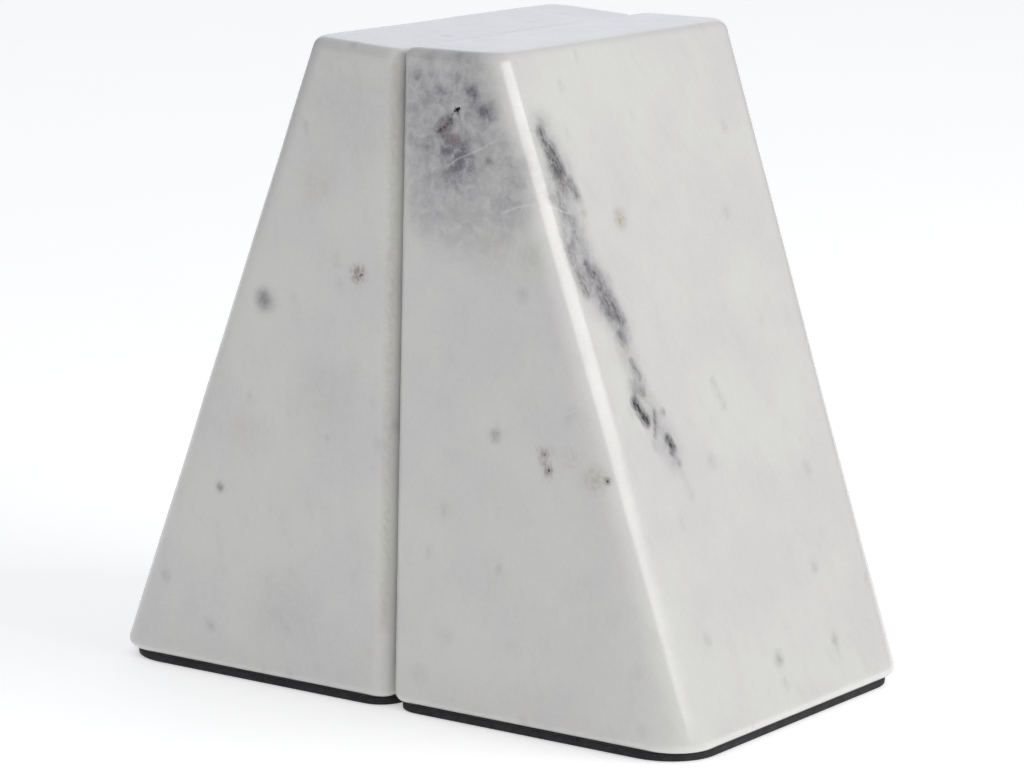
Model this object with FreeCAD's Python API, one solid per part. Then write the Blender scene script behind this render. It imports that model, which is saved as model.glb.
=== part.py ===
import FreeCAD, Part
import math
import os

# A pair of solid marble book ends that stand back to back on a shelf. Each one is a wedge with an
# upright book face, two upright end faces and one sloping outer face, and it stands on a thin
# rubber foam pad that a film of adhesive holds to the underside of the stone.
# Millimetres, +Z up, +X to the right, front at -Y. The origin is on the shelf, midway between the
# two book faces and midway from front to back.

# ---- overall sizes ----
overall_height = 152.4       # shelf to the highest edge of the stone
depth = 101.6                # front end face to back end face
base_width = 81.0            # book face to the sharp foot of the sloping face, one stone
top_width = 25.4             # book face to the sharp head of the sloping face, one stone
book_gap = 0.4               # clearance between the two book faces when the pair is closed

# ---- the stone ----
book_corner_base = 4.5       # upright corner radius beside the book face, at the foot
book_corner_top = 3.5        # the same corner at the head
outer_corner_base = 11.0     # corner radius beside the sloping face, at the foot
outer_corner_top = 6.0       # the same corner at the head: the grinder eases it less there
head_arris = 2.5             # rounding radius all round the top face
foot_arris = 2.2             # rounding radius all round the underside
top_fall = {"left": 1.2, "right": 0.3}   # how far each top face falls towards its book face

# ---- the self-adhesive pad under each stone ----
pad_thickness = 1.85
adhesive_thickness = 0.15
pad_inset = 1.1              # how far the pad stays in from the widest outline of the stone
pad_book_inset = 0.5         # the same beside the book face, where the pad is cut closer
pad_book_corner = 6.5        # the pad's corners are cut rounder than the stone's
pad_outer_corner = 12.5

# ---- worked out from the sizes above ----
adhesive_base = pad_thickness
stone_base = adhesive_base + adhesive_thickness
book_face = book_gap / 2
foot_angle = math.atan2(overall_height - stone_base, base_width - top_width)
foot_eased = foot_arris / math.tan(foot_angle / 2) - foot_arris   # width that the rounding takes off
cut_margin = 5.0             # how far the tool that cuts the top face passes the stone


def rounded_outline(inner, outer, half_depth, inner_radius, outer_radius, height):
    """A closed wire at one height: a rectangle whose four corners are arcs."""
    corners = [(outer, -half_depth, outer_radius, -1, 1),
               (outer, half_depth, outer_radius, -1, -1),
               (inner, half_depth, inner_radius, 1, -1),
               (inner, -half_depth, inner_radius, 1, 1)]
    diagonal = 1 - 0.5 ** 0.5
    arcs = []
    for index, (x, y, radius, into_x, into_y) in enumerate(corners):
        on_end_face = FreeCAD.Vector(x + into_x * radius, y, height)
        on_side_face = FreeCAD.Vector(x, y + into_y * radius, height)
        middle = FreeCAD.Vector(x + into_x * radius * diagonal, y + into_y * radius * diagonal, height)
        first, last = (on_end_face, on_side_face) if index % 2 == 0 else (on_side_face, on_end_face)
        arcs.append((first, middle, last))
    edges = []
    for arc, following in zip(arcs, arcs[1:] + arcs[:1]):
        edges.append(Part.Arc(*arc).toShape())
        edges.append(Part.LineSegment(arc[2], following[0]).toShape())
    return Part.Wire(edges)


def pad_outline(height):
    """The outline that the pad and its adhesive are die-cut to."""
    return rounded_outline(book_face + pad_book_inset, book_face + base_width - foot_eased - pad_inset,
                           depth / 2 - pad_inset, pad_book_corner, pad_outer_corner, height)


def die_cut_sheet(base, thickness):
    return Part.Face(pad_outline(base)).extrude(FreeCAD.Vector(0, 0, thickness))


def top_cutter(fall):
    """What the saw takes off the top: everything above a plane that falls towards the book face."""
    inner = book_face
    outer = book_face + top_width
    slope = fall / top_width
    low_x = inner - cut_margin
    high_x = outer + cut_margin
    ceiling = overall_height + fall + cut_margin
    profile = [(low_x, overall_height - (outer - low_x) * slope),
               (high_x, overall_height + (high_x - outer) * slope),
               (high_x, ceiling), (low_x, ceiling)]
    front = -depth / 2 - cut_margin
    points = [FreeCAD.Vector(x, front, z) for x, z in profile]
    face = Part.Face(Part.makePolygon(points + points[:1]))
    return face.extrude(FreeCAD.Vector(0, depth + 2 * cut_margin, 0))


def level_face(solid, highest):
    """The flat face whose middle is highest, or lowest: the top face or the underside."""
    pick = max if highest else min
    return pick(solid.Faces, key=lambda face: face.CenterOfMass.z)


def stone_block(fall):
    """One right-hand stone: foot and head outlines joined by straight rulings, then eased edges."""
    foot = rounded_outline(book_face, book_face + base_width, depth / 2,
                           book_corner_base, outer_corner_base, stone_base)
    head = rounded_outline(book_face, book_face + top_width, depth / 2,
                           book_corner_top, outer_corner_top, overall_height)
    wedge = Part.makeLoft([foot, head], True, True)
    wedge = wedge.cut(top_cutter(fall)).Solids[0]
    rounded = wedge.makeFillet(foot_arris, level_face(wedge, False).Edges)
    return rounded.makeFillet(head_arris, level_face(rounded, True).Edges)


def mirrored_to_left(shape):
    return shape.mirror(FreeCAD.Vector(0, 0, 0), FreeCAD.Vector(1, 0, 0))


def book_end(side):
    """The separate pieces of one book end, by name."""
    pieces = {"block": stone_block(top_fall[side]),
              "adhesive": die_cut_sheet(adhesive_base, adhesive_thickness),
              "pad": die_cut_sheet(0, pad_thickness)}
    if side == "left":
        pieces = {name: mirrored_to_left(shape) for name, shape in pieces.items()}
    return pieces


os.makedirs("parts", exist_ok=True)
for side in ("left", "right"):
    for name, shape in book_end(side).items():
        shape.exportStep("parts/" + side + "_" + name + ".step")
        box = shape.BoundBox
        print(side, name, "valid", shape.isValid(), "solids", len(shape.Solids),
              "volume", round(shape.Volume / 1000, 1), "cm3",
              "x", round(box.XMin, 2), round(box.XMax, 2),
              "y", round(box.YMin, 2), round(box.YMax, 2),
              "z", round(box.ZMin, 2), round(box.ZMax, 2))
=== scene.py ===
# %% [markdown]
# # A pair of marble book ends
# Two solid marble wedges stand back to back. Each is sawn from a slab, ground by hand, given a
# satin polish, and stood on a thin black foam pad that is stuck to its underside.
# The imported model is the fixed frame: it says where each piece is and how large it is. Here each
# piece gets its finished mesh and material. Lengths are written in millimetres and turned to
# metres once, where a mesh is made.

# %% Load the frame
import math
import random

import bmesh
import bpy
import numpy as np
from mathutils import Matrix, Quaternion, Vector, noise


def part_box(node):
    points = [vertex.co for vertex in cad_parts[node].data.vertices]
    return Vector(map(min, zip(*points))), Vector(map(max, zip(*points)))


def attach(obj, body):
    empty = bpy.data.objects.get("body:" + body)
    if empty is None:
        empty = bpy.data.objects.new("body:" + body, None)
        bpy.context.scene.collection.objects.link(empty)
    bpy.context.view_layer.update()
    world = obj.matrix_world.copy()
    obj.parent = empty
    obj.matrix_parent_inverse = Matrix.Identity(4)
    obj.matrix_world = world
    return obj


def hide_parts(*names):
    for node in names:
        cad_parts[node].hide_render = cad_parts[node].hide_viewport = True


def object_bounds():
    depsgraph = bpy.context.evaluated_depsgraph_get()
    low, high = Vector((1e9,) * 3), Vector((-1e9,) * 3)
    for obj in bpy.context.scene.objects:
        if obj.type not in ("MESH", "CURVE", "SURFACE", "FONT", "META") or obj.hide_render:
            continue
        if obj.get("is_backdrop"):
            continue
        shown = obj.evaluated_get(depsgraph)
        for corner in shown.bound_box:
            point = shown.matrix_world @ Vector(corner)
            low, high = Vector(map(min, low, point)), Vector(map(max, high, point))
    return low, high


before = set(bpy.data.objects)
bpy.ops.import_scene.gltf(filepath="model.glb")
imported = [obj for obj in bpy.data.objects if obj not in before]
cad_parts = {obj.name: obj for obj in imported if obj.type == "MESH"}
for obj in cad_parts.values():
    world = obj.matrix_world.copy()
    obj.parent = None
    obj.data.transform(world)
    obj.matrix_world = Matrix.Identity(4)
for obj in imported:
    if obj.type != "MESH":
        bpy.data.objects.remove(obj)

cad_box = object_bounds()

# %% [markdown]
# ## Sizes
# A stone is a rectangle at the foot and a narrower one at the head, joined by straight lines. The
# grinder eases the upright corners less towards the head, so each corner has two radii. These
# are the maker's sizes; the foot's height, the depth and the book face are read from the frame's boxes.

# %% Sizes of the stone and the pad, in millimetres
MM = 0.001


def box_mm(node):
    """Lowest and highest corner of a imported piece, in millimetres."""
    low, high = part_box(node)
    return low / MM, high / MM


stone_low, stone_high = box_mm("right_block")
pad_low, pad_high = box_mm("right_pad")

BOOK_FACE = stone_low.x          # half of the gap between the two closed stones
STONE_BASE = stone_low.z
STONE_TOP = 152.4                # the highest edge, before it is eased
HALF_DEPTH = stone_high.y
BASE_WIDTH = 81.0                # to the sharp foot of the sloping face, before its edge is eased
TOP_WIDTH = 25.4                 # to the sharp head of the sloping face
CORNER_RADII = {"foot": (4.5, 11.0), "head": (3.5, 6.0)}    # beside the book face, beside the slope
HEAD_ARRIS = 2.5                 # rounding all round the top face
FOOT_ARRIS = 2.2                 # rounding all round the underside
TOP_FALL = {"left": 1.2, "right": 0.3}      # how far each top falls towards its book face
PAD_RADII = (6.5, 12.5)

SLOPE_PER_MM = (BASE_WIDTH - TOP_WIDTH) / (STONE_TOP - STONE_BASE)
print("stone", round(STONE_BASE, 2), "to", round(STONE_TOP, 2), "mm high, half depth",
      round(HALF_DEPTH, 2))

# %% [markdown]
# ## One rounded outline
# Stone and pad are both rectangles with rounded corners. The corners could be worked out point by
# point with sines, but a vertex bevel rounds a corner in one step: four points make a face, and
# the bevel does the rest. Beside the book face the radius is small and beside the slope it is
# larger, so the two pairs are bevelled one after the other. Both outlines of a stone get the same
# number of points, so they can be bridged without a twist.

# %% Rounded outline
CORNER_STEPS = 12                # straight steps along a quarter circle
CLOSE = 0.001                    # points nearer than this count as the same place


def edges_where(bm, where):
    """The edges whose two ends both lie where the test says."""
    return [edge for edge in bm.edges if all(where(v.co) for v in edge.verts)]


def round_corners(bm, corners, radius):
    bmesh.ops.bevel(bm, geom=corners, offset=radius, offset_type="OFFSET", segments=CORNER_STEPS,
                    profile=0.5, affect="VERTICES", clamp_overlap=False, material=-1)


def rounded_face(bm, inner, outer, half_depth, radii, height):
    """A level face with rounded corners, and the edges of its rim, which are returned.

    The two radii are those beside the book face and beside the slope.
    """
    spots = [(inner, -half_depth), (outer, -half_depth), (outer, half_depth), (inner, half_depth)]
    corners = [bm.verts.new((x, y, height)) for x, y in spots]
    bm.faces.new(corners)
    round_corners(bm, [corners[0], corners[3]], radii[0])
    round_corners(bm, [corners[1], corners[2]], radii[1])
    return edges_where(bm, lambda place: abs(place.z - height) < CLOSE)


print("a rounded outline has", 4 * (CORNER_STEPS + 1), "points")

# %% [markdown]
# ## The sawn and ground stone
# A real one is sawn from a slab and its edges are eased on a wheel. A cube with a narrowed top
# would have the same radius all the way up, so here a foot outline and a head outline are bridged
# instead, and the corners change radius on the way. The top is then sawn along a plane that falls
# a little towards the book face, and a bevel eases the edges round the head and the foot. Last,
# the long edges are subdivided, so that the skin is a fine, even net that can follow the
# unevenness of hand work.

# %% Stone shell
ARRIS_STEPS = 8                  # strips across an eased edge
ROWS = 100                       # strips from foot to head
COLUMNS_ACROSS = 34              # strips across the front face
COLUMNS_DEEP = 64                # strips from front to back
LONG = 8.0                       # an edge longer than this is not part of a rounding
STRAIGHT = 0.99                  # share of an edge's length that has to run along the axis
PLACE_DIGITS = 4                 # decimals to which two places on a side are told apart
SAW_SKIM = 0.01                  # what the saw takes off even at the highest edge


def ease(bm, edges, radius):
    """Rounds an edge loop. The bevel's width is that of a right-angled edge with this radius."""
    bmesh.ops.bevel(bm, geom=edges, offset=radius * math.sqrt(2), offset_type="WIDTH",
                    segments=ARRIS_STEPS, profile=0.5, affect="EDGES", material=-1)


def subdivide(bm, edges, cuts):
    bmesh.ops.subdivide_edges(bm, edges=edges, cuts=cuts, use_grid_fill=True)


def tall_edges(bm, rise):
    """Edges whose ends differ in height by more than this."""
    return [edge for edge in bm.edges if abs(edge.verts[0].co.z - edge.verts[1].co.z) > rise]


def long_edges(bm, axis):
    """Straight edges that run along one axis, and so lie across a flat face."""
    found = []
    for edge in bm.edges:
        run = edge.verts[1].co - edge.verts[0].co
        if abs(run[axis]) > LONG and abs(run[axis]) > STRAIGHT * run.length:
            found.append(edge)
    return found


def straight_places(face, axis):
    """Where the points on a level face's two straight sides along one axis lie."""
    other = 1 - axis
    reach = max(v.co[other] for v in face.verts)
    on_side = [v.co[axis] for v in face.verts if abs(v.co[other] - reach) < CLOSE]
    return sorted({round(place, PLACE_DIGITS) for place in on_side})


def net_level_face(bm, face):
    """Cuts a level face along the points that its straight sides already have."""
    geometry = [face, *face.edges, *face.verts]
    for axis, places in [(0, straight_places(face, 0)), (1, straight_places(face, 1))]:
        for place in places:
            point = Vector((0, 0, 0))
            point[axis] = place
            direction = Vector((0, 0, 0))
            direction[axis] = 1
            cut = bmesh.ops.bisect_plane(bm, geom=geometry, dist=CLOSE / 10, plane_co=point,
                                         plane_no=direction)
            geometry = cut["geom"]


def stone_shell(fall):
    """The right-hand stone in millimetres, before hand finishing."""
    bm = bmesh.new()
    foot = rounded_face(bm, BOOK_FACE, BOOK_FACE + BASE_WIDTH, HALF_DEPTH,
                        CORNER_RADII["foot"], STONE_BASE)
    head = rounded_face(bm, BOOK_FACE, BOOK_FACE + TOP_WIDTH, HALF_DEPTH,
                        CORNER_RADII["head"], STONE_TOP)
    bmesh.ops.bridge_loops(bm, edges=foot + head)
    bmesh.ops.recalc_face_normals(bm, faces=bm.faces)
    saw_point = Vector((BOOK_FACE + TOP_WIDTH, 0, STONE_TOP - SAW_SKIM))
    saw_up = Vector((-fall / TOP_WIDTH, 0, 1)).normalized()
    everything = bm.verts[:] + bm.edges[:] + bm.faces[:]
    bmesh.ops.bisect_plane(bm, geom=everything, dist=CLOSE / 10, plane_co=saw_point,
                           plane_no=saw_up, clear_outer=True)
    rim = edges_where(bm, lambda place: abs((place - saw_point).dot(saw_up)) < CLOSE)
    bmesh.ops.edgeloop_fill(bm, edges=rim)
    bmesh.ops.recalc_face_normals(bm, faces=bm.faces)
    ease(bm, rim, HEAD_ARRIS)
    ease(bm, edges_where(bm, lambda place: abs(place.z - STONE_BASE) < CLOSE), FOOT_ARRIS)
    subdivide(bm, tall_edges(bm, STONE_TOP / 2), ROWS - 1)
    subdivide(bm, long_edges(bm, 0), COLUMNS_ACROSS - 1)
    subdivide(bm, long_edges(bm, 1), COLUMNS_DEEP - 1)
    for face in [face for face in bm.faces if len(face.verts) > COLUMNS_DEEP]:
        net_level_face(bm, face)
    return bm


shells = {side: stone_shell(TOP_FALL[side]) for side in ("left", "right")}
for side, shell in shells.items():
    open_edges = [edge for edge in shell.edges if not edge.is_manifold]
    volume = shell.calc_volume() / 1000              # cubic millimetres to cubic centimetres
    print(side, "shell has", len(shell.verts), "points,", len(open_edges), "open edges,",
          round(volume, 1), "cm3")

# %% [markdown]
# ## What is in the stone
# The body is white calcite. Through it run a grey-violet cloud, a streak of dark mineral grains,
# rust where iron has weathered, olive patches of mica, and a few small pits where soft grains were
# torn out by the saw. The olive marks also hold painted shade: a warm dark strip down the left
# stone's edge at the seam between the two stones. A noise texture alone would put such things
# anywhere, and a stone has them in a few places only. So each mark is a short line in space with a
# radius and a strength, round or drawn out, and its place is given on the face where it comes out.

# %% Where the marks lie
SLOPE_FOOT = BOOK_FACE + BASE_WIDTH


def front(x, z):
    return Vector((x, -HALF_DEPTH, z))


def back(x, z):
    return Vector((x, HALF_DEPTH, z))


def slope(y, z, side=1):
    return Vector((side * (SLOPE_FOOT - SLOPE_PER_MM * (z - STONE_BASE)), y, z))


def book(y, z):
    return Vector((BOOK_FACE, y, z))


def rounded(x, y, z):
    """A place on a rounded corner, which lies on neither face."""
    return Vector((x, y, z))


def spot(place, radius, strength):
    return (place, place, radius, strength)


def drawn(start, end, radius, strength):
    return (start, end, radius, strength)


# Soft marks fade out towards their radius. Grains and pits are crisp. Millimetres throughout.
RIGHT_MARKS = {
    "grey_cloud": [
        # the cloud under the head of the front face
        drawn(front(12, 142), front(20, 122), 20, 0.42),
        drawn(front(20, 148), front(18, 128), 10, 0.2), drawn(front(3, 142), front(7, 118), 11, 0.28),
        drawn(front(10, 112), front(34, 108), 11, 0.12), spot(front(19.5, 143.4), 3.6, 0.5),
        spot(front(23.7, 139.5), 4.2, 0.7), drawn(front(14.5, 130), front(15.3, 124.5), 5, 0.4),
        drawn(front(18.6, 128.2), front(15, 131), 4.5, 0.35), spot(front(11.5, 142.5), 4, 0.25),
        spot(front(16.2, 146.6), 3.5, 0.25), spot(front(5.2, 147.7), 2.2, 0.35),
        spot(front(4.6, 145.4), 1.8, 0.35), spot(front(15.6, 151.2), 2, 0.3),
        spot(front(21.6, 149.4), 1.4, 0.25), spot(front(9, 131), 3, 0.25),
        drawn(front(33, 127), front(31, 119), 8, 0.3), spot(front(27, 132), 9, 0.2),
        # the pale rim of the streak
        drawn(slope(-41, 135), slope(-38.5, 126), 8, 0.34),
        drawn(slope(-39.5, 125), slope(-39, 112), 8, 0.36),
        drawn(slope(-40.5, 112), slope(-36, 98), 8, 0.3),
        drawn(slope(-37, 104), slope(-31, 92), 6.5, 0.3),
        drawn(slope(-33, 92), slope(-31, 80), 6, 0.3), drawn(slope(-31, 78), slope(-25, 64), 7, 0.3),
        drawn(slope(-24, 63), slope(-22, 54), 2.6, 0.12),
        # single flecks
        spot(front(40, 112.8), 3.5, 0.35), spot(front(28, 67.8), 2.6, 0.55),
        spot(front(9, 10), 4, 0.15), spot(slope(-10, 59.6), 3, 0.25), spot(slope(-5, 15), 3, 0.45),
        spot(slope(20, 14.6), 2.6, 0.4), spot(slope(20, 31), 2.4, 0.3),
        drawn(slope(-1, 76), slope(1, 70), 2, 0.2),
        # the back and the book face
        drawn(back(17, 141), back(26, 122), 13, 0.24), spot(back(15, 132), 5, 0.3),
        spot(back(29, 112), 9, 0.2), drawn(book(-38, 140), book(-26, 124), 14, 0.26),
        spot(book(-20, 117), 7, 0.28), spot(book(-4, 103), 10, 0.18),
    ],
    "dark_grain": [
        # the streak, from its head down
        drawn(slope(-41.8, 135), slope(-41, 132.4), 1.5, 1.0),
        drawn(slope(-40, 130.5), slope(-39, 126.4), 2.1, 1.3),
        drawn(slope(-39.5, 126), slope(-38.6, 123), 1.8, 0.6),
        drawn(slope(-35.6, 123), slope(-34.4, 120.8), 1.5, 0.7),
        drawn(slope(-41.6, 121), slope(-41, 117.5), 1.8, 0.5),
        drawn(slope(-43, 109.5), slope(-43, 107), 1.6, 0.5),
        drawn(slope(-42.2, 105), slope(-41, 101), 1.7, 0.8),
        drawn(slope(-38.4, 106.5), slope(-37, 103), 0.9, 0.75),
        drawn(slope(-36, 103.5), slope(-34, 99), 2.2, 0.75),
        drawn(slope(-35, 98), slope(-34, 95.5), 1.9, 0.9),
        drawn(slope(-32.5, 96.5), slope(-31, 93.8), 1.8, 0.9),
        drawn(slope(-33, 91), slope(-32.4, 88.8), 1.1, 0.6),
        drawn(slope(-31.3, 84.5), slope(-29.6, 80.8), 0.9, 0.55), spot(slope(-30.2, 77.7), 1.1, 0.7),
        drawn(slope(-34.4, 76), slope(-33.4, 74.6), 1.3, 1.7),
        drawn(slope(-33.2, 74), slope(-31.8, 71.8), 1.4, 1.8),
        drawn(slope(-27.6, 73), slope(-28.6, 70.8), 0.7, 0.65),
        drawn(slope(-28.8, 70.4), slope(-30, 68), 0.6, 0.6), spot(slope(-24.3, 72.5), 0.9, 0.6),
        drawn(slope(-25.2, 66.6), slope(-24.4, 65), 1.2, 1.7), spot(slope(-25, 64), 0.9, 1.3),
        spot(slope(-23.4, 61.3), 0.9, 0.45),
        # grains in the front face
        spot(front(24.7, 128.8), 0.9, 0.6), spot(rounded(56.3, -48.5, 60.8), 0.8, 0.9),
        spot(front(41.4, 65.1), 0.8, 0.7), spot(front(42.3, 61.8), 0.9, 0.8),
        drawn(front(11.6, 134.4), front(13.6, 136.2), 1.5, 1.5),
    ],
    "rust_stain": [
        spot(front(12.5, 135.6), 2.6, 0.8), spot(front(15.3, 133), 2.6, 1.0),
        spot(front(26.2, 150.2), 2.2, 0.6), spot(slope(-40.1, 130.6), 1.8, 0.5),
        spot(slope(-38.9, 124.7), 2.2, 0.8), spot(slope(-43.4, 108.4), 2.4, 0.4),
        drawn(front(40.8, 65.4), front(42.4, 61.4), 2.6, 0.6), spot(front(48.3, 65.2), 4, 0.25),
        spot(front(24, 129), 3, 0.2),
    ],
    "olive_stain_and_seam_shade": [
        spot(slope(-19.8, 114), 3.8, 1.1), spot(slope(-33.4, 116.5), 1.8, 0.8),
        spot(slope(-32, 88), 3, 0.4), spot(slope(-30.2, 77.7), 1.4, 0.8),
        spot(rounded(54.0, -49.6, 61.2), 5, 0.6), spot(front(36, 109), 5, 0.3),
        spot(slope(-41.6, 103), 3, 0.3), spot(front(27, 110), 6, 0.2),
    ],
    "healed_crack": [
        drawn(front(14.5, 127.2), front(25.5, 133), 2.5, 1.0),
        drawn(front(30, 118.5), front(37, 121), 2.5, 1.6),
        drawn(slope(-45, 119.4), slope(-40.5, 118), 2.5, 1.6),
        drawn(front(47.5, 74.4), front(52, 77), 2.0, 1.2),
    ],
    "pit": [
        spot(front(15.2, 139.0), 0.35, 0.9), spot(front(15.7, 139.3), 0.5, 1.0),
        spot(front(16.3, 139.6), 0.42, 1.0), spot(front(14.6, 138.2), 0.25, 0.6),
        spot(front(14.4, 137.2), 0.25, 0.6), spot(front(13.5, 136.0), 0.22, 0.5),
        spot(front(12.5, 135.2), 0.25, 0.6), spot(front(11.6, 134.6), 0.25, 0.6),
        spot(front(15.4, 133.0), 0.22, 0.5), spot(slope(-48.5, 114.2), 0.22, 0.5),
        spot(front(41.2, 65.3), 0.25, 0.5), spot(front(42.4, 61.7), 0.28, 0.55),
        spot(rounded(56.3, -48.5, 60.8), 0.28, 0.6),
    ],
}

LEFT_MARKS = {
    "grey_cloud": [
        spot(front(-15, 139), 24, 0.12), spot(front(-36.1, 90.7), 4.6, 0.6),
        spot(front(-48.4, 45.2), 2.2, 0.4), spot(front(-50.8, 11.8), 2.5, 0.3),
        spot(front(-64.3, 21.7), 2.5, 0.25), spot(front(-20, 70), 14, 0.12),
        spot(front(-30, 20), 16, 0.12), drawn(slope(24, 128, -1), slope(13, 106, -1), 8, 0.26),
        drawn(slope(9, 100, -1), slope(3, 84, -1), 6, 0.3),
        drawn(slope(-4, 78, -1), slope(-8, 66, -1), 9, 0.2), spot(slope(16, 34, -1), 9, 0.22),
    ],
    "dark_grain": [
        spot(front(-36.8, 91.2), 1.7, 0.3), spot(front(-9.8, 99.6), 1.2, 0.5),
        spot(front(-48.4, 45.2), 0.8, 0.6),
        drawn(slope(20.5, 117, -1), slope(18, 111.5, -1), 2.0, 0.7),
        spot(slope(17.6, 109, -1), 1.3, 0.9),
        drawn(slope(15, 107, -1), slope(14.4, 103, -1), 1.2, 0.6),
        drawn(slope(7.4, 92, -1), slope(4.6, 87, -1), 2.2, 0.8), spot(slope(3.2, 84.6, -1), 1.1, 1.0),
        spot(slope(1.4, 79.5, -1), 0.9, 0.7),
    ],
    "rust_stain": [
        spot(front(-10, 99.6), 3.6, 1.1), spot(front(-36.5, 91), 2.5, 0.4),
        spot(slope(14, 101, -1), 3, 0.5),
    ],
    "olive_stain_and_seam_shade": [
        # painted shade: this first mark is a warm dark strip down the stone's edge at the seam, where
        # shade falls between the two stones; the rest are olive patches of mica
        drawn(front(-0.8, 147), front(-0.8, 20), 3, 0.6), spot(front(-22, 120), 8, 0.2),
        spot(front(-40, 60), 9, 0.2),
    ],
    "healed_crack": [
        drawn(slope(-20, 120, -1), slope(16, 104, -1), 3, 1.4),
    ],
    "pit": [
        spot(front(-9.2, 99.6), 0.3, 0.7), spot(slope(6, 89, -1), 0.5, 0.8),
    ],
}
MARKS = {"right": RIGHT_MARKS, "left": LEFT_MARKS}
for side, marks in MARKS.items():
    print(side, "stone has", {kind: len(items) for kind, items in marks.items()})

# %% [markdown]
# ## Marks on the mesh
# How near each point is to a mark is stored on the mesh as an attribute, which the material reads.
# The marks could also be worked out in the material, but that would take a chain of nodes for each
# of a hundred marks. A net of 1.5 mm is fine enough for the clouds, but not for grains and pits,
# so the faces near those are subdivided first.

# %% Nearness to marks, and finer faces near the crisp ones
SOFT_KINDS = ("grey_cloud", "rust_stain", "olive_stain_and_seam_shade", "healed_crack")
CRISP_KINDS = {"dark_grain": 0.45, "pit": 0.22}      # longest edge near such a mark
CRISP_REACH = 1.6                # how far past its radius a crisp mark fades to nothing
FINE_ROUNDS = 3                  # how often the edges near a mark may be halved


def points_of(items):
    return np.array([item[:] for item in items], float).reshape(-1, 3)


def distance_to(points, start, end):
    """Distance from each point to a short straight line."""
    start, end = np.array(start), np.array(end)
    run = end - start
    run_squared = float(run @ run) or 1.0            # a round mark has no length to divide by
    along = np.clip((points - start) @ run / run_squared, 0, 1)
    return np.linalg.norm(points - start - along[:, None] * run, axis=1)


def soft_mark(points, items):
    """Sum of marks that fade out smoothly."""
    total = np.zeros(len(points))
    for start, end, radius, strength in items:
        near = np.clip(1 - distance_to(points, start, end) / radius, 0, 1)
        total += strength * near * near * (3 - 2 * near)
    return np.clip(total, 0, 1)


def crisp_mark(points, items):
    """Nearness that falls in a straight line from the middle of each mark to its edge."""
    best = np.zeros(len(points))
    for start, end, radius, strength in items:
        near = np.clip(1 - distance_to(points, start, end) / (CRISP_REACH * radius), 0, 1)
        best = np.maximum(best, strength * near)
    return best


def finer_near(bm, items, longest):
    """Subdivides the long edges of the faces near some marks, several times."""
    for _ in range(FINE_ROUNDS):
        centres = points_of([face.calc_center_median() for face in bm.faces])
        near = np.zeros(len(centres), bool)
        for start, end, radius, _strength in items:
            near |= distance_to(centres, start, end) < CRISP_REACH * radius + 2 * longest
        bm.faces.ensure_lookup_table()
        edges = {edge for index in np.flatnonzero(near) for edge in bm.faces[index].edges}
        edges = [edge for edge in edges if edge.calc_length() > longest]
        if not edges:
            break
        edges.sort(key=lambda edge: edge.index)
        subdivide(bm, edges, 1)
        bm.edges.index_update()


halfway = points_of([front(0, 1)])
trial_mark = [spot(front(0, 0), 2, 1.0)]
print("halfway out, a soft mark is", soft_mark(halfway, trial_mark)[0],
      "and a crisp one", round(crisp_mark(halfway, trial_mark)[0], 2))

# %% [markdown]
# ## Hand finishing and pits
# The faces are ground flat by hand against a wheel, so they are never quite true: each one swells
# and dips by a tenth or two of a millimetre over a few centimetres. It shows only in the highlights,
# which wander a little along the eased edges. A bump in the material would fake it, but moving the
# points keeps it in the mesh. The book face and the underside stay nearly true. A pit is real
# depth too: its points are pushed into the stone.

# %% Hand finishing
PIT_DEPTH = 0.9                  # depth of a pit, as a share of its width
WAVE_HEIGHT = 0.16               # how far a wave moves the skin, at most about
WAVE_LENGTH = 34.0
RIPPLE_SHARE = 0.4               # a second, shorter wave, as a share of the first
RIPPLE_RATE = 2.3                # and how many times shorter it is
TRUE_FACE_SHARE = 0.15           # how much of the waviness the book face keeps
BOOK_FACING = 0.5                # a normal that points this far towards the books is the book face's
FOOT_FADE = 2.5                  # how fast the waviness goes as the skin turns under


def hand_finish(bm, outwards, seed):
    """Moves each point a little along its normal. Outwards, 1 or -1, is the slope's way along X."""
    bm.normal_update()
    moves = []
    for vert in bm.verts:
        place = vert.co / WAVE_LENGTH + Vector((seed, 0, 0))
        wave = noise.noise(place) + RIPPLE_SHARE * noise.noise(place * RIPPLE_RATE)
        on_book_face = vert.normal.x * outwards < -BOOK_FACING
        share = TRUE_FACE_SHARE if on_book_face else 1.0
        if vert.normal.z < 0:
            share *= max(0.0, 1 + FOOT_FADE * vert.normal.z)
        moves.append(vert.normal * wave * WAVE_HEIGHT * share)
    for vert, move in zip(bm.verts, moves):
        vert.co += move


def sink_pits(bm, items):
    """Pushes the skin in under each pit, steeply at its rim."""
    bm.verts.ensure_lookup_table()
    bm.normal_update()
    points = points_of([vert.co for vert in bm.verts])
    normals = [vert.normal.copy() for vert in bm.verts]
    for start, end, radius, _strength in items:
        near = np.clip(1 - distance_to(points, start, end) / radius, 0, 1)
        depth = 2 * radius * PIT_DEPTH * np.sqrt(near)
        for index in np.flatnonzero(near):
            bm.verts[index].co -= normals[index] * float(depth[index])


print("the waves are about", WAVE_LENGTH, "mm long and", WAVE_HEIGHT, "mm high")

# %% [markdown]
# ## Both stones
# The left stone is the mirror image of the right one, with a top sawn at a slightly different angle
# and with its own marks. A mirror turns the faces inside out, so the normals are recalculated.
# Nearness to the marks is measured before the skin is moved, while each face is still true.

# %% Make the stones
FLECK_SEEDS = {"right": 7, "left": 19}
WAVE_SEEDS = {"right": 3.7, "left": 11.2}
SMALL_FLECKS = 150               # faint flecks spread over each stone
FLECK_LENGTHS = (0.3, 1.8)
FLECK_RADII = (1.2, 2.6)
FLECK_STRENGTHS = (0.05, 0.2)
FLECK_RUN = Vector((0.12, 0.35, -0.93))      # they are drawn out the way the streak runs


def mirror(bm):
    bmesh.ops.scale(bm, vec=(-1, 1, 1), verts=bm.verts)
    bmesh.ops.recalc_face_normals(bm, faces=bm.faces)


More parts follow.
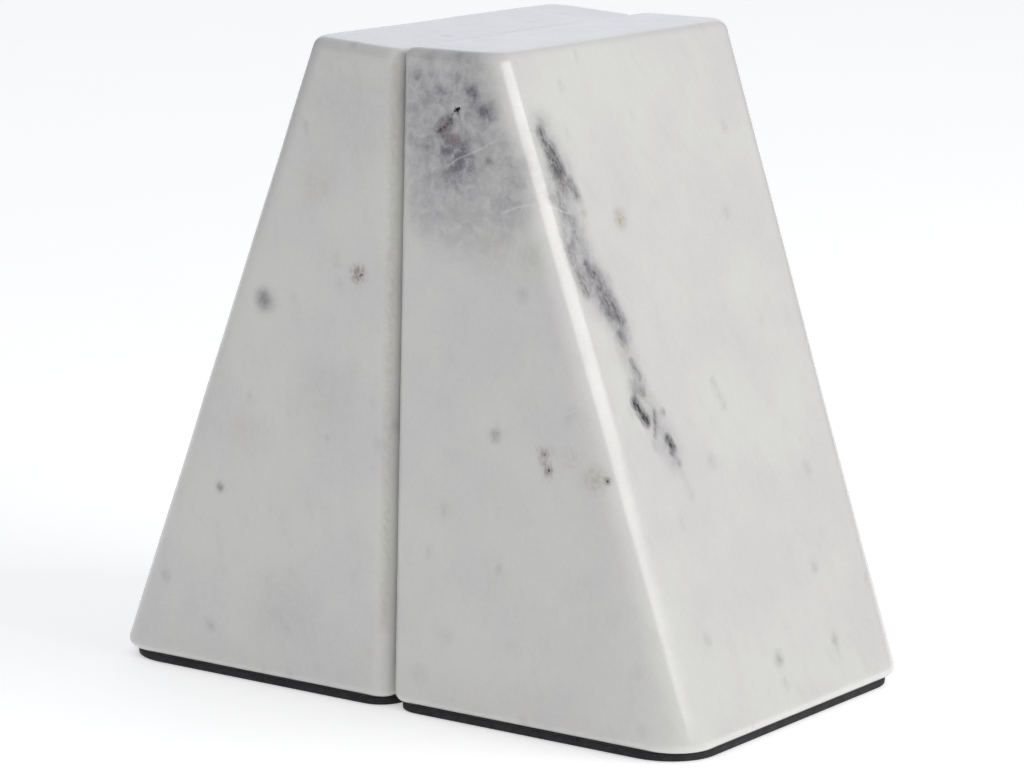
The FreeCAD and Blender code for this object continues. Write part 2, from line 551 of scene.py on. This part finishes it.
def placed(bm, name):
    """Turns a finished mesh to metres and puts it in the scene as one smooth-shaded object."""
    bmesh.ops.scale(bm, vec=(MM, MM, MM), verts=bm.verts)
    for face in bm.faces:
        face.smooth = True
    mesh = bpy.data.meshes.new(name)
    bm.to_mesh(mesh)
    bm.free()
    piece = bpy.data.objects.new(name, mesh)
    bpy.context.scene.collection.objects.link(piece)
    print(name, sum(len(face.vertices) - 2 for face in mesh.polygons), "triangles")
    return piece


def scattered_flecks(bm, seed):
    """Faint grey flecks at random places on the skin."""
    draw = random.Random(seed)
    flecks = []
    verts = bm.verts[:]
    for _ in range(SMALL_FLECKS):
        place = draw.choice(verts).co.copy()
        length = draw.uniform(*FLECK_LENGTHS)
        radius = draw.uniform(*FLECK_RADII)
        strength = draw.uniform(*FLECK_STRENGTHS)
        flecks.append(drawn(place, place + FLECK_RUN * length, radius, strength))
    return flecks


def finished_stone(side):
    marks = MARKS[side]
    bm = shells[side]
    if side == "left":
        mirror(bm)
    for kind, longest in CRISP_KINDS.items():
        finer_near(bm, marks[kind], longest)
    flecks = scattered_flecks(bm, FLECK_SEEDS[side])
    points = points_of([vert.co for vert in bm.verts])
    values = {kind: crisp_mark(points, marks[kind]) for kind in CRISP_KINDS}
    for kind in SOFT_KINDS:
        items = marks[kind] + flecks if kind == "grey_cloud" else marks[kind]
        values[kind] = soft_mark(points, items)
    sink_pits(bm, marks["pit"])
    hand_finish(bm, 1 if side == "right" else -1, WAVE_SEEDS[side])
    stone = placed(bm, side + "_stone")
    for kind, value in values.items():
        attribute = stone.data.attributes.new(kind, "FLOAT", "POINT")
        attribute.data.foreach_set("value", value.astype(np.float32))
    return stone


stones = {side: finished_stone(side) for side in ("left", "right")}

# %% [markdown]
# ## The foam pad
# Die-cut from a sheet of closed-cell rubber foam. The weight of the stone squeezes it, so its cut
# edge bulges a little, and the knife leaves the upper and lower rims slightly soft. A plain sheet
# with a Solidify modifier would have sharp rims and no bulge. The same outline as for the stone is
# extruded instead, its rims are bevelled, and the rows between them are moved outwards.

# %% Make the pads
PAD_RIM = 0.25                   # radius of the soft upper and lower rims
PAD_BULGE = 0.12                 # how far the cut edge swells
PAD_UNEVEN = 0.4                 # share of the bulge that comes and goes
PAD_UNEVEN_LENGTH = 9.0
PAD_RIM_STEPS = 3
PAD_ROWS = 4
PAD_COLUMNS = 30


def foam_pad(side):
    bm = bmesh.new()
    rim = rounded_face(bm, pad_low.x, pad_high.x, pad_high.y, PAD_RADII, pad_low.z)
    subdivide(bm, [edge for edge in rim if edge.calc_length() > LONG], PAD_COLUMNS)
    raised = bmesh.ops.extrude_face_region(bm, geom=bm.faces[:], use_keep_orig=True)
    lifted = [item for item in raised["geom"] if isinstance(item, bmesh.types.BMVert)]
    bmesh.ops.translate(bm, vec=(0, 0, pad_high.z - pad_low.z), verts=lifted)
    bmesh.ops.recalc_face_normals(bm, faces=bm.faces)
    for height in (pad_low.z, pad_high.z):
        edges = edges_where(bm, lambda place: abs(place.z - height) < CLOSE)
        bmesh.ops.bevel(bm, geom=edges, offset=PAD_RIM, offset_type="OFFSET",
                        segments=PAD_RIM_STEPS, profile=0.5, affect="EDGES", material=-1)
    middle = (pad_low.z + pad_high.z) / 2
    half = (pad_high.z - pad_low.z) / 2
    subdivide(bm, tall_edges(bm, half), PAD_ROWS - 1)
    bm.normal_update()
    for vert in bm.verts:
        level = (vert.co.z - middle) / half
        outward = Vector((vert.normal.x, vert.normal.y, 0))
        uneven = 1 - PAD_UNEVEN + PAD_UNEVEN * noise.noise(vert.co / PAD_UNEVEN_LENGTH)
        vert.co += outward * PAD_BULGE * (1 - level * level) * uneven
    if side == "left":
        mirror(bm)
    return placed(bm, side + "_foam_pad")


pads = {side: foam_pad(side) for side in ("left", "right")}

# %% [markdown]
# ## Material helpers
# Colours are written as sRGB hex and turned to linear by one function. One function adds a node.
# A pattern's scale is worked out from its real size: Object coordinates are in metres.

# %% Material helpers
def linear(hex_colour):
    """An sRGB hex colour as linear RGBA."""
    parts = [int(hex_colour[i:i + 2], 16) / 255 for i in (1, 3, 5)]
    return (*[c / 12.92 if c <= 0.04045 else ((c + 0.055) / 1.055) ** 2.4 for c in parts], 1.0)


def add(tree, kind, settings):
    """Adds one node. Properties are set, inputs take a number or, when given a socket, a link."""
    node = tree.nodes.new(kind)
    for name, value in settings.items():
        if isinstance(name, str) and hasattr(node, name):
            setattr(node, name, value)
        elif isinstance(value, bpy.types.NodeSocket):
            tree.links.new(value, node.inputs[name])
        else:
            node.inputs[name].default_value = value
    return node


def per_mm(size):
    """Texture scale for a pattern that repeats about every size millimetres."""
    return 1 / (size * MM)


def new_material(name):
    material = bpy.data.materials.new(name)
    material.use_nodes = True
    material.node_tree.nodes.clear()
    return material, material.node_tree


SOFT_STEP = {"interpolation_type": "SMOOTHSTEP"}
COLOUR_MIX = {"data_type": "RGBA"}
MIX_AMOUNT, MIX_BELOW, MIX_ABOVE, MIX_RESULT = 0, 6, 7, 2      # socket numbers of a colour mix
print("mid grey #808080 is", round(linear("#808080")[0], 3), "in linear light")

# %% [markdown]
# ## White marble, satin polished
# Interlocked calcite crystals a few tenths of a millimetre wide. Light goes a little way in and
# comes out again, which softens the shade. The polish is satin: highlights are bright, with soft
# edges. The tone drifts between cool and warm over one to three centimetres.
#
# A marble could be one noise texture through a colour ramp, but then it looks printed. Here several
# patterns of real size lie over each other, and the marks stored on the mesh say where a stain is.

# %% Sizes in the marble
# All in millimetres.
DRIFT_SIZE = 26                  # warm and cool zones of the body
MOTTLE_SIZE = 5                  # grey mottling, drawn out along the streak
WISP_SIZE = 3.2                  # wisps within the grey cloud
GRIT_SIZE = 0.8                  # mineral grains in the streak and the stains
CRYSTAL_SIZE = 0.5               # a calcite crystal, a little coarser than real so that it shows
RIPPLE_SIZE = 1.2                # the polish, which is never quite flat
WANDER_SIZE = 9                  # the bends of a healed crack
STREAK_STRETCH = 2.2             # how many times longer than wide the drawn-out patterns are
STREAK_DIRECTION = (math.radians(22), math.radians(-8), 0)
print("a crystal is", CRYSTAL_SIZE, "mm wide, texture scale", round(per_mm(CRYSTAL_SIZE)))

# %% [markdown]
# ## Stains in the marble
# Each kind of stain is one more layer of colour: the mark says where, and a pattern breaks it up.
# Wisps thin the cloud out, because the clay that greys a real marble lies in wisps, and grit gives
# the streak, the mica and the rust their grain. The olive layer also carries painted shade: a warm
# dark strip down the seam between the two stones. The widest and palest layer comes first and the
# small coloured ones last, so that they tint what lies below.

# %% Stain layers
# mark, colour, pattern that breaks it up, where the pattern starts and is full, least and most
STAINS = [("grey_cloud", "#77757F", "wisps", 0.28, 0.72, 0.45, 1.25),
          ("dark_grain", "#706F74", "wisps", 0.2, 0.6, 0.35, 0.6),
          ("dark_grain", "#454347", "grit", 0.42, 0.62, 0.05, 0.72),
          # olive: patches of mica, and on the left stone warm painted shade down the seam between the
          # stones
          ("olive_stain_and_seam_shade", "#A6A183", "grit", 0.35, 0.65, 0.3, 0.8),
          ("rust_stain", "#99807A", "grit", 0.42, 0.6, 0.12, 0.8)]


def stain_layers(tree, body, patterns):
    """Paints the stains over the body colour."""
    colour = body
    for mark, hex_colour, pattern, start, full, least, most in STAINS:
        presence = add(tree, "ShaderNodeAttribute", {"attribute_name": mark})
        broken = add(tree, "ShaderNodeMapRange",
                     {**SOFT_STEP, "Value": patterns[pattern], "From Min": start, "From Max": full,
                      "To Min": least, "To Max": most})
        amount = add(tree, "ShaderNodeMath",
                     {"operation": "MULTIPLY", "use_clamp": True, 0: presence.outputs["Fac"],
                      1: broken.outputs[0]})
        painted = add(tree, "ShaderNodeMix",
                      {**COLOUR_MIX, MIX_AMOUNT: amount.outputs[0], MIX_BELOW: colour,
                       MIX_ABOVE: linear(hex_colour)})
        colour = painted.outputs[MIX_RESULT]
    return colour


print(len(STAINS), "layers of stain")

# %% [markdown]
# ## Healed cracks
# A crack that has filled with clear calcite shows as a hairline. It is a thin sheet through the
# whole stone, so its hairline turns the corner with the stone. It could be drawn on one face, but
# it would stop dead at the edge. Here the distance from a slightly bent plane makes the line, and
# the marks say how far along the plane it can be seen.

# %% Hairlines
# which way each sheet faces, and how far out it lies, in millimetres
HEALED_SHEETS = [((-0.328, 0.309, 0.892), 81.3), ((-0.46, 0.1, 0.88), 101.2),
                 ((-0.5, 0.1, 0.86), 37.2), ((0.3, 0.39, 0.87), 86.1)]
SHEET_WANDER = 2.2               # how far a sheet strays from flat
HAIRLINE_CORE = 0.05             # as far as this from the sheet the line is full
HAIRLINE_EDGE = 0.4              # and here it has gone
HAIRLINE_STRENGTH = 0.3


def hairlines(tree, place, wander):
    """How clearly a healed sheet shows at each point: not at all away from the sheets."""
    in_mm = add(tree, "ShaderNodeVectorMath", {"operation": "SCALE", "Vector": place, "Scale": 1 / MM})
    nearest = None
    for facing, distance in HEALED_SHEETS:
        height = add(tree, "ShaderNodeVectorMath",
                     {"operation": "DOT_PRODUCT", 0: in_mm.outputs[0], 1: facing})
        strayed = add(tree, "ShaderNodeMath",
                      {"operation": "MULTIPLY_ADD", 0: wander, 1: SHEET_WANDER,
                       2: height.outputs["Value"]})
        offset = add(tree, "ShaderNodeMath",
                     {"operation": "SUBTRACT", 0: strayed.outputs[0], 1: distance})
        away = add(tree, "ShaderNodeMath", {"operation": "ABSOLUTE", 0: offset.outputs[0]}).outputs[0]
        if nearest is not None:
            away = add(tree, "ShaderNodeMath", {"operation": "MINIMUM", 0: nearest, 1: away}).outputs[0]
        nearest = away
    line = add(tree, "ShaderNodeMapRange",
               {**SOFT_STEP, "Value": nearest, "From Min": HAIRLINE_CORE, "From Max": HAIRLINE_EDGE,
                "To Min": HAIRLINE_STRENGTH, "To Max": 0.0})
    where = add(tree, "ShaderNodeAttribute", {"attribute_name": "healed_crack"})
    return add(tree, "ShaderNodeMath",
               {"operation": "MULTIPLY", 0: line.outputs[0], 1: where.outputs["Fac"]}).outputs[0]


print(len(HEALED_SHEETS), "healed cracks, each", 2 * HAIRLINE_EDGE, "mm wide at most")

# %% [markdown]
# ## The finished marble
# From below upwards: a white that drifts from cool to warm, grey mottling, single bright crystals,
# the stains, the healed cracks, and dust in the pits. A little light goes into the stone and comes
# out again (subsurface), as calcite lets it. The bump is two hundredths of a millimetre deep: what
# shows as a shape is in the mesh.

# %% Marble
PIT_RAGGED = 0.5                 # how much the grit frays the edge of a pit
POLISH_DEPTH = 0.02              # unevenness left by the polish, in millimetres
LIGHT_REACH = 2.5                # how far light goes into the stone, in millimetres


def marble_material():
    """Satin polish: the eye sees a soft-edged highlight and a pale, slightly deep white."""
    material, tree = new_material("satin_polished_white_marble")
    place = add(tree, "ShaderNodeTexCoord", {}).outputs["Object"]
    drawn_out = add(tree, "ShaderNodeMapping",
                    {"vector_type": "TEXTURE", "Vector": place, "Rotation": STREAK_DIRECTION,
                     "Scale": (1, 1, STREAK_STRETCH)}).outputs[0]

    drift = add(tree, "ShaderNodeTexNoise",
                {"Vector": place, "Scale": per_mm(DRIFT_SIZE), "Detail": 4, "Roughness": 0.55}).outputs[0]
    mottle = add(tree, "ShaderNodeTexNoise",
                 {"Vector": drawn_out, "Scale": per_mm(MOTTLE_SIZE), "Detail": 5,
                  "Roughness": 0.65}).outputs[0]
    wisps = add(tree, "ShaderNodeTexNoise",
                {"Vector": place, "Scale": per_mm(WISP_SIZE), "Detail": 6, "Roughness": 0.72,
                 "Distortion": 0.5}).outputs[0]
    grit = add(tree, "ShaderNodeTexNoise",
               {"Vector": drawn_out, "Scale": per_mm(GRIT_SIZE), "Detail": 3, "Roughness": 0.7}).outputs[0]
    wander = add(tree, "ShaderNodeTexNoise",
                 {"Vector": place, "Scale": per_mm(WANDER_SIZE), "Detail": 2}).outputs[0]
    ripple = add(tree, "ShaderNodeTexNoise",
                 {"Vector": place, "Scale": per_mm(RIPPLE_SIZE), "Detail": 2}).outputs[0]
    crystals = add(tree, "ShaderNodeTexVoronoi", {"Vector": place, "Scale": per_mm(CRYSTAL_SIZE)})
    crystal_tone = add(tree, "ShaderNodeSeparateColor", {0: crystals.outputs["Color"]}).outputs[0]

    warmth = add(tree, "ShaderNodeMapRange",
                 {**SOFT_STEP, "Value": drift, "From Min": 0.35, "From Max": 0.65})
    body = add(tree, "ShaderNodeMix", {**COLOUR_MIX, MIX_AMOUNT: warmth.outputs[0],
                                       MIX_BELOW: linear("#DCDAD9"), MIX_ABOVE: linear("#E0E0DC")})
    greying = add(tree, "ShaderNodeMapRange",
                  {**SOFT_STEP, "Value": mottle, "From Min": 0.5, "From Max": 0.75, "To Max": 0.22})
    mottled = add(tree, "ShaderNodeMix",
                  {**COLOUR_MIX, MIX_AMOUNT: greying.outputs[0], MIX_BELOW: body.outputs[MIX_RESULT],
                   MIX_ABOVE: linear("#C9C9C3")})
    glint = add(tree, "ShaderNodeMapRange",
                {**SOFT_STEP, "Value": crystal_tone, "From Min": 0.2, "From Max": 1.0, "To Max": 0.12})
    crystalline = add(tree, "ShaderNodeMix",
                      {**COLOUR_MIX, MIX_AMOUNT: glint.outputs[0], MIX_BELOW: mottled.outputs[MIX_RESULT],
                       MIX_ABOVE: linear("#F0F0EC")})
    stained = stain_layers(tree, crystalline.outputs[MIX_RESULT], {"wisps": wisps, "grit": grit})
    healed = add(tree, "ShaderNodeMix",
                 {**COLOUR_MIX, MIX_AMOUNT: hairlines(tree, place, wander), MIX_BELOW: stained,
                  MIX_ABOVE: linear("#EFEEEC")})
    pits = add(tree, "ShaderNodeAttribute", {"attribute_name": "pit"})
    ragged = add(tree, "ShaderNodeMath", {"operation": "MULTIPLY_ADD", 0: grit, 1: PIT_RAGGED,
                                          2: pits.outputs["Fac"]})
    pit_amount = add(tree, "ShaderNodeMapRange",
                     {**SOFT_STEP, "Value": ragged.outputs[0], "From Min": 0.55, "From Max": 0.75})
    colour = add(tree, "ShaderNodeMix",
                 {**COLOUR_MIX, MIX_AMOUNT: pit_amount.outputs[0], MIX_BELOW: healed.outputs[MIX_RESULT],
                  MIX_ABOVE: linear("#2C2423")})

    roughness = add(tree, "ShaderNodeMapRange",
                    {**SOFT_STEP, "Value": mottle, "From Min": 0.3, "From Max": 0.7, "To Min": 0.16,
                     "To Max": 0.22})
    relief = add(tree, "ShaderNodeMath", {"operation": "ADD", 0: ripple, 1: crystal_tone})
    bump = add(tree, "ShaderNodeBump",
               {"Strength": 0.12, "Distance": POLISH_DEPTH * MM, "Height": relief.outputs[0]})
    surface = add(tree, "ShaderNodeBsdfPrincipled",
                  {"Base Color": colour.outputs[MIX_RESULT], "Roughness": roughness.outputs[0],
                   "Normal": bump.outputs[0], "IOR": 1.5, "Subsurface Weight": 0.2,
                   "Subsurface Radius": (1.0, 0.95, 0.85), "Subsurface Scale": LIGHT_REACH * MM})
    add(tree, "ShaderNodeOutputMaterial", {"Surface": surface.outputs[0]})
    return material


marble = marble_material()
for stone in stones.values():
    stone.data.materials.append(marble)
print("marble has", len(marble.node_tree.nodes), "nodes")

# %% [markdown]
# ## Closed-cell rubber foam
# Near-black and matt. Its cells are under half a millimetre wide, so they show only as a faint
# mottle and as tiny dents in the cut edge. Two blacks drift into each other over a few millimetres,
# and the cell walls are a shade paler.

# %% Foam
CELL_SIZE = 0.45                 # one closed cell, in millimetres
CELL_DEPTH = 0.06                # how deep a cut cell looks
FOAM_DRIFT_SIZE = 2.5


def foam_material():
    """Cut rubber foam: the eye sees a soft black line that gives no highlight."""
    material, tree = new_material("black_closed_cell_rubber_foam")
    place = add(tree, "ShaderNodeTexCoord", {}).outputs["Object"]
    cells = add(tree, "ShaderNodeTexVoronoi",
                {"Vector": place, "Scale": per_mm(CELL_SIZE)}).outputs["Distance"]
    mottle = add(tree, "ShaderNodeTexNoise",
                 {"Vector": place, "Scale": per_mm(FOAM_DRIFT_SIZE), "Detail": 4}).outputs[0]
    patchy = add(tree, "ShaderNodeMapRange",
                 {**SOFT_STEP, "Value": mottle, "From Min": 0.35, "From Max": 0.65})
    rubber = add(tree, "ShaderNodeMix", {**COLOUR_MIX, MIX_AMOUNT: patchy.outputs[0],
                                         MIX_BELOW: linear("#1E1E20"), MIX_ABOVE: linear("#2C2C2F")})
    walls = add(tree, "ShaderNodeMapRange",
                {**SOFT_STEP, "Value": cells, "From Min": 0.3, "From Max": 0.8, "To Max": 0.35})
    colour = add(tree, "ShaderNodeMix",
                 {**COLOUR_MIX, MIX_AMOUNT: walls.outputs[0], MIX_BELOW: rubber.outputs[MIX_RESULT],
                  MIX_ABOVE: linear("#3A3A3D")})
    bump = add(tree, "ShaderNodeBump",
               {"Strength": 0.5, "Distance": CELL_DEPTH * MM, "Height": cells})
    surface = add(tree, "ShaderNodeBsdfPrincipled",
                  {"Base Color": colour.outputs[MIX_RESULT], "Normal": bump.outputs[0], "Roughness": 0.78,
                   "IOR": 1.45})
    add(tree, "ShaderNodeOutputMaterial", {"Surface": surface.outputs[0]})
    return material


foam = foam_material()
for pad in pads.values():
    pad.data.materials.append(foam)
print("foam has", len(foam.node_tree.nodes), "nodes")

# %% [markdown]
# ## Acrylic adhesive film
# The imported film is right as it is: only its edge shows, as a thin dark line between pad and stone.
# It keeps its mesh and gets its own finish: smoke-grey and a little streaky, slightly glossy, and
# partly clear, so that it reads as glue and not as more foam.

# %% Adhesive
STREAK_SIZE = 4                  # how the film was rolled out, in millimetres


def adhesive_material():
    """Squeezed glue film: the eye sees only a thin, slightly glossy dark edge."""
    material, tree = new_material("dark_grey_acrylic_adhesive_film")
    place = add(tree, "ShaderNodeTexCoord", {}).outputs["Object"]
    streaks = add(tree, "ShaderNodeTexNoise",
                  {"Vector": place, "Scale": per_mm(STREAK_SIZE), "Detail": 3}).outputs[0]
    colour = add(tree, "ShaderNodeMix", {**COLOUR_MIX, MIX_AMOUNT: streaks,
                                         MIX_BELOW: linear("#2A2A2B"), MIX_ABOVE: linear("#383839")})
    surface = add(tree, "ShaderNodeBsdfPrincipled",
                  {"Base Color": colour.outputs[MIX_RESULT], "Roughness": 0.35, "IOR": 1.47,
                   "Transmission Weight": 0.3})
    add(tree, "ShaderNodeOutputMaterial", {"Surface": surface.outputs[0]})
    return material


adhesive = adhesive_material()
for side in ("left", "right"):
    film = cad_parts[side + "_adhesive"]
    film.data.materials.clear()
    film.data.materials.append(adhesive)
print("adhesive has", len(adhesive.node_tree.nodes), "nodes")

# %% [markdown]
# ## Joining the frame
# Each book end moves as one body when the row of books grows. Each finished piece rides on its own
# book end and takes the place of the imported piece of the same shape, which is hidden. The adhesive
# films are imported pieces already, so they stay as they are. The pads are solid foam all through.

# %% Ride, and hide the imported pieces
for side in ("left", "right"):
    for piece, node, slot in ((stones[side], "_block", "marble"), (pads[side], "_pad", "foam_pad")):
        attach(piece, side + "_bookend")
        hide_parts(side + node)
        print(piece.name, "rides on", side + "_bookend", "and stands for", side + node)

# %% [markdown]
# ## A lit white table
# The pair stands on a sheet of matt white acrylic with a lamp below it. The glow from below keeps
# the foot of the stones from going dark and leaves only a faint shadow round the pads.

# %% Table
TABLE_SIDE = 12000.0             # in millimetres, so that its edges lie far outside the view
TABLE_CLEARANCE = 0.05           # keeps the table's top and the pads' undersides apart
HAZE_SIZE = 60                   # the sheet is not quite even
TABLE_GLOW = 0.40                # how brightly the sheet shines of itself


def acrylic_material():
    """Matt cast sheet: the eye sees an even white without a mirror image."""
    material, tree = new_material("matt_white_acrylic")
    place = add(tree, "ShaderNodeTexCoord", {}).outputs["Object"]
    haze = add(tree, "ShaderNodeTexNoise",
               {"Vector": place, "Scale": per_mm(HAZE_SIZE), "Detail": 3}).outputs[0]
    colour = add(tree, "ShaderNodeMix", {**COLOUR_MIX, MIX_AMOUNT: haze,
                                         MIX_BELOW: linear("#F6F6F6"), MIX_ABOVE: linear("#F9F9F9")})
    surface = add(tree, "ShaderNodeBsdfPrincipled",
                  {"Base Color": colour.outputs[MIX_RESULT], "Roughness": 0.9, "Specular IOR Level": 0.2,
                   "Emission Color": linear("#FFFFFF"), "Emission Strength": TABLE_GLOW})
    add(tree, "ShaderNodeOutputMaterial", {"Surface": surface.outputs[0]})
    return material


def white_table():
    bm = bmesh.new()
    bmesh.ops.create_grid(bm, x_segments=1, y_segments=1, size=TABLE_SIDE / 2)
    bmesh.ops.translate(bm, vec=(0, 0, -TABLE_CLEARANCE), verts=bm.verts)
    floor = placed(bm, "white_table")
    floor.data.materials.append(acrylic_material())
    floor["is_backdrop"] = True


white_table()

# %% [markdown]
# ## Soft light
# A bright ceiling lights everything softly. It could be a large lamp, but a sky that brightens
# upwards leaves no hard reflection. A white panel low behind the pair, on the left, is what the
# polished tops and their eased edges mirror. One long soft box on the right lights the slope and
# draws the tall highlight down the rounded front corner. It is rolled a little, because that
# corner leans.

# %% Lights
LIGHT_AIM = Vector((0.02, 0.0, 0.08))        # in metres
WHITE_PANEL = Vector((-0.54, 0.83, 0.14)).normalized()
SOFT_BOX_COLOUR = "#FFFEFC"
WALL_COLOUR = "#FCFDFF"
# where it lies, the cosines at which it starts and is full, how bright it is, its colour
ROOM_PARTS = [((0.0, 0.0, 1.0), 0.2, 0.6, 0.625, "#FAFBFF"),
              (WHITE_PANEL, 0.85, 0.97, 1.06, "#F3F5FF")]


def pale_room():
    """A bright ceiling, and a white panel low behind the object, on the left."""
    world = bpy.data.worlds.new("pale_room")
    bpy.context.scene.world = world
    world.use_nodes = True
    tree = world.node_tree
    tree.nodes.clear()
    direction = add(tree, "ShaderNodeTexCoord", {}).outputs["Generated"]
    light = []
    for towards, start, full, brightness, hex_colour in ROOM_PARTS:
        facing = add(tree, "ShaderNodeVectorMath", {"operation": "DOT_PRODUCT", 0: direction, 1: towards})
        strength = add(tree, "ShaderNodeMapRange",
                       {**SOFT_STEP, "Value": facing.outputs["Value"], "From Min": start, "From Max": full,
                        "To Max": brightness})
        light.append(add(tree, "ShaderNodeBackground",
                         {"Color": linear(hex_colour), "Strength": strength.outputs[0]}).outputs[0])
    both = add(tree, "ShaderNodeAddShader", {0: light[0], 1: light[1]})
    # looked at directly, past the edge of the table, the room is one plain pale wall
    wall = add(tree, "ShaderNodeBackground", {"Color": linear(WALL_COLOUR), "Strength": 1.0})
    looked_at = add(tree, "ShaderNodeLightPath", {}).outputs["Is Camera Ray"]
    room = add(tree, "ShaderNodeMixShader", {0: looked_at, 1: both.outputs[0], 2: wall.outputs[0]})
    add(tree, "ShaderNodeOutputWorld", {"Surface": room.outputs[0]})
    print(world.name, "has", len(tree.nodes), "nodes")


def soft_box(name, heading, height_angle, roll, distance, width, tall, power):
    """A rectangular soft box. Heading 0 is in front of the object and 90 on its right."""
    turn, lift = math.radians(heading), math.radians(height_angle)
    towards = Vector((math.sin(turn) * math.cos(lift), -math.cos(turn) * math.cos(lift), math.sin(lift)))
    light = bpy.data.lights.new(name, "AREA")
    light.shape = "RECTANGLE"
    light.size = width
    light.size_y = tall
    light.energy = power
    light.color = linear(SOFT_BOX_COLOUR)[:3]
    box = bpy.data.objects.new(name, light)
    bpy.context.scene.collection.objects.link(box)
    box.location = LIGHT_AIM + towards * distance
    box.rotation_mode = "QUATERNION"
    box.rotation_quaternion = towards.to_track_quat("Z", "Y") @ Quaternion((0, 0, 1), math.radians(roll))
    print(name, "stands", distance, "m away and gives", power, "W")


pale_room()
soft_box("right_soft_box", heading=100, height_angle=24, roll=8, distance=1.5,
         width=1.3, tall=0.5, power=10.0)
bpy.context.scene.view_settings.view_transform = "Standard"      # whites stay white

# %% [markdown]
# ## Camera
# A long lens from a metre away, to the right of the front and a little above the stones, so that
# the front faces, one slope and the tops all show.

# %% Camera
CAMERA_PLACE = (560.2, -850.3, 265.6)        # in millimetres
CAMERA_HEADING = 33.444          # degrees to the right of the front
CAMERA_DIP = 10.972              # degrees below level
CAMERA_ROLL = 1.415
CAMERA_LENS = 155.3
SENSOR_WIDTH = 36.0              # of the camera, in millimetres
NEAREST, FARTHEST = 0.01, 50.0   # what the camera can see lies between these, in metres


def make_camera():
    camera = bpy.data.objects.new("camera", bpy.data.cameras.new("camera"))
    bpy.context.scene.collection.objects.link(camera)
    turn = (Matrix.Rotation(math.radians(CAMERA_HEADING), 4, "Z")
            @ Matrix.Rotation(math.radians(90 - CAMERA_DIP), 4, "X")
            @ Matrix.Rotation(math.radians(CAMERA_ROLL), 4, "Z"))
    camera.matrix_world = Matrix.Translation(Vector(CAMERA_PLACE) * MM) @ turn
    camera.data.lens = CAMERA_LENS
    camera.data.sensor_width = SENSOR_WIDTH
    camera.data.clip_start = NEAREST
    camera.data.clip_end = FARTHEST
    bpy.context.scene.camera = camera
    print("camera stands", round(camera.location.length, 2), "m away, lens", CAMERA_LENS, "mm")


make_camera()

# %% [markdown]
# ## Sizes and finish
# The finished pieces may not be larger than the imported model, apart from the little that hand
# finishing and the bulge of the foam add. Both boxes are written down, to compare them.

# %% Sizes
made_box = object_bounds()
for packed, made in zip(cad_box, made_box):
    print("box corner", [round(x / MM, 2) for x in packed], [round(x / MM, 2) for x in made])
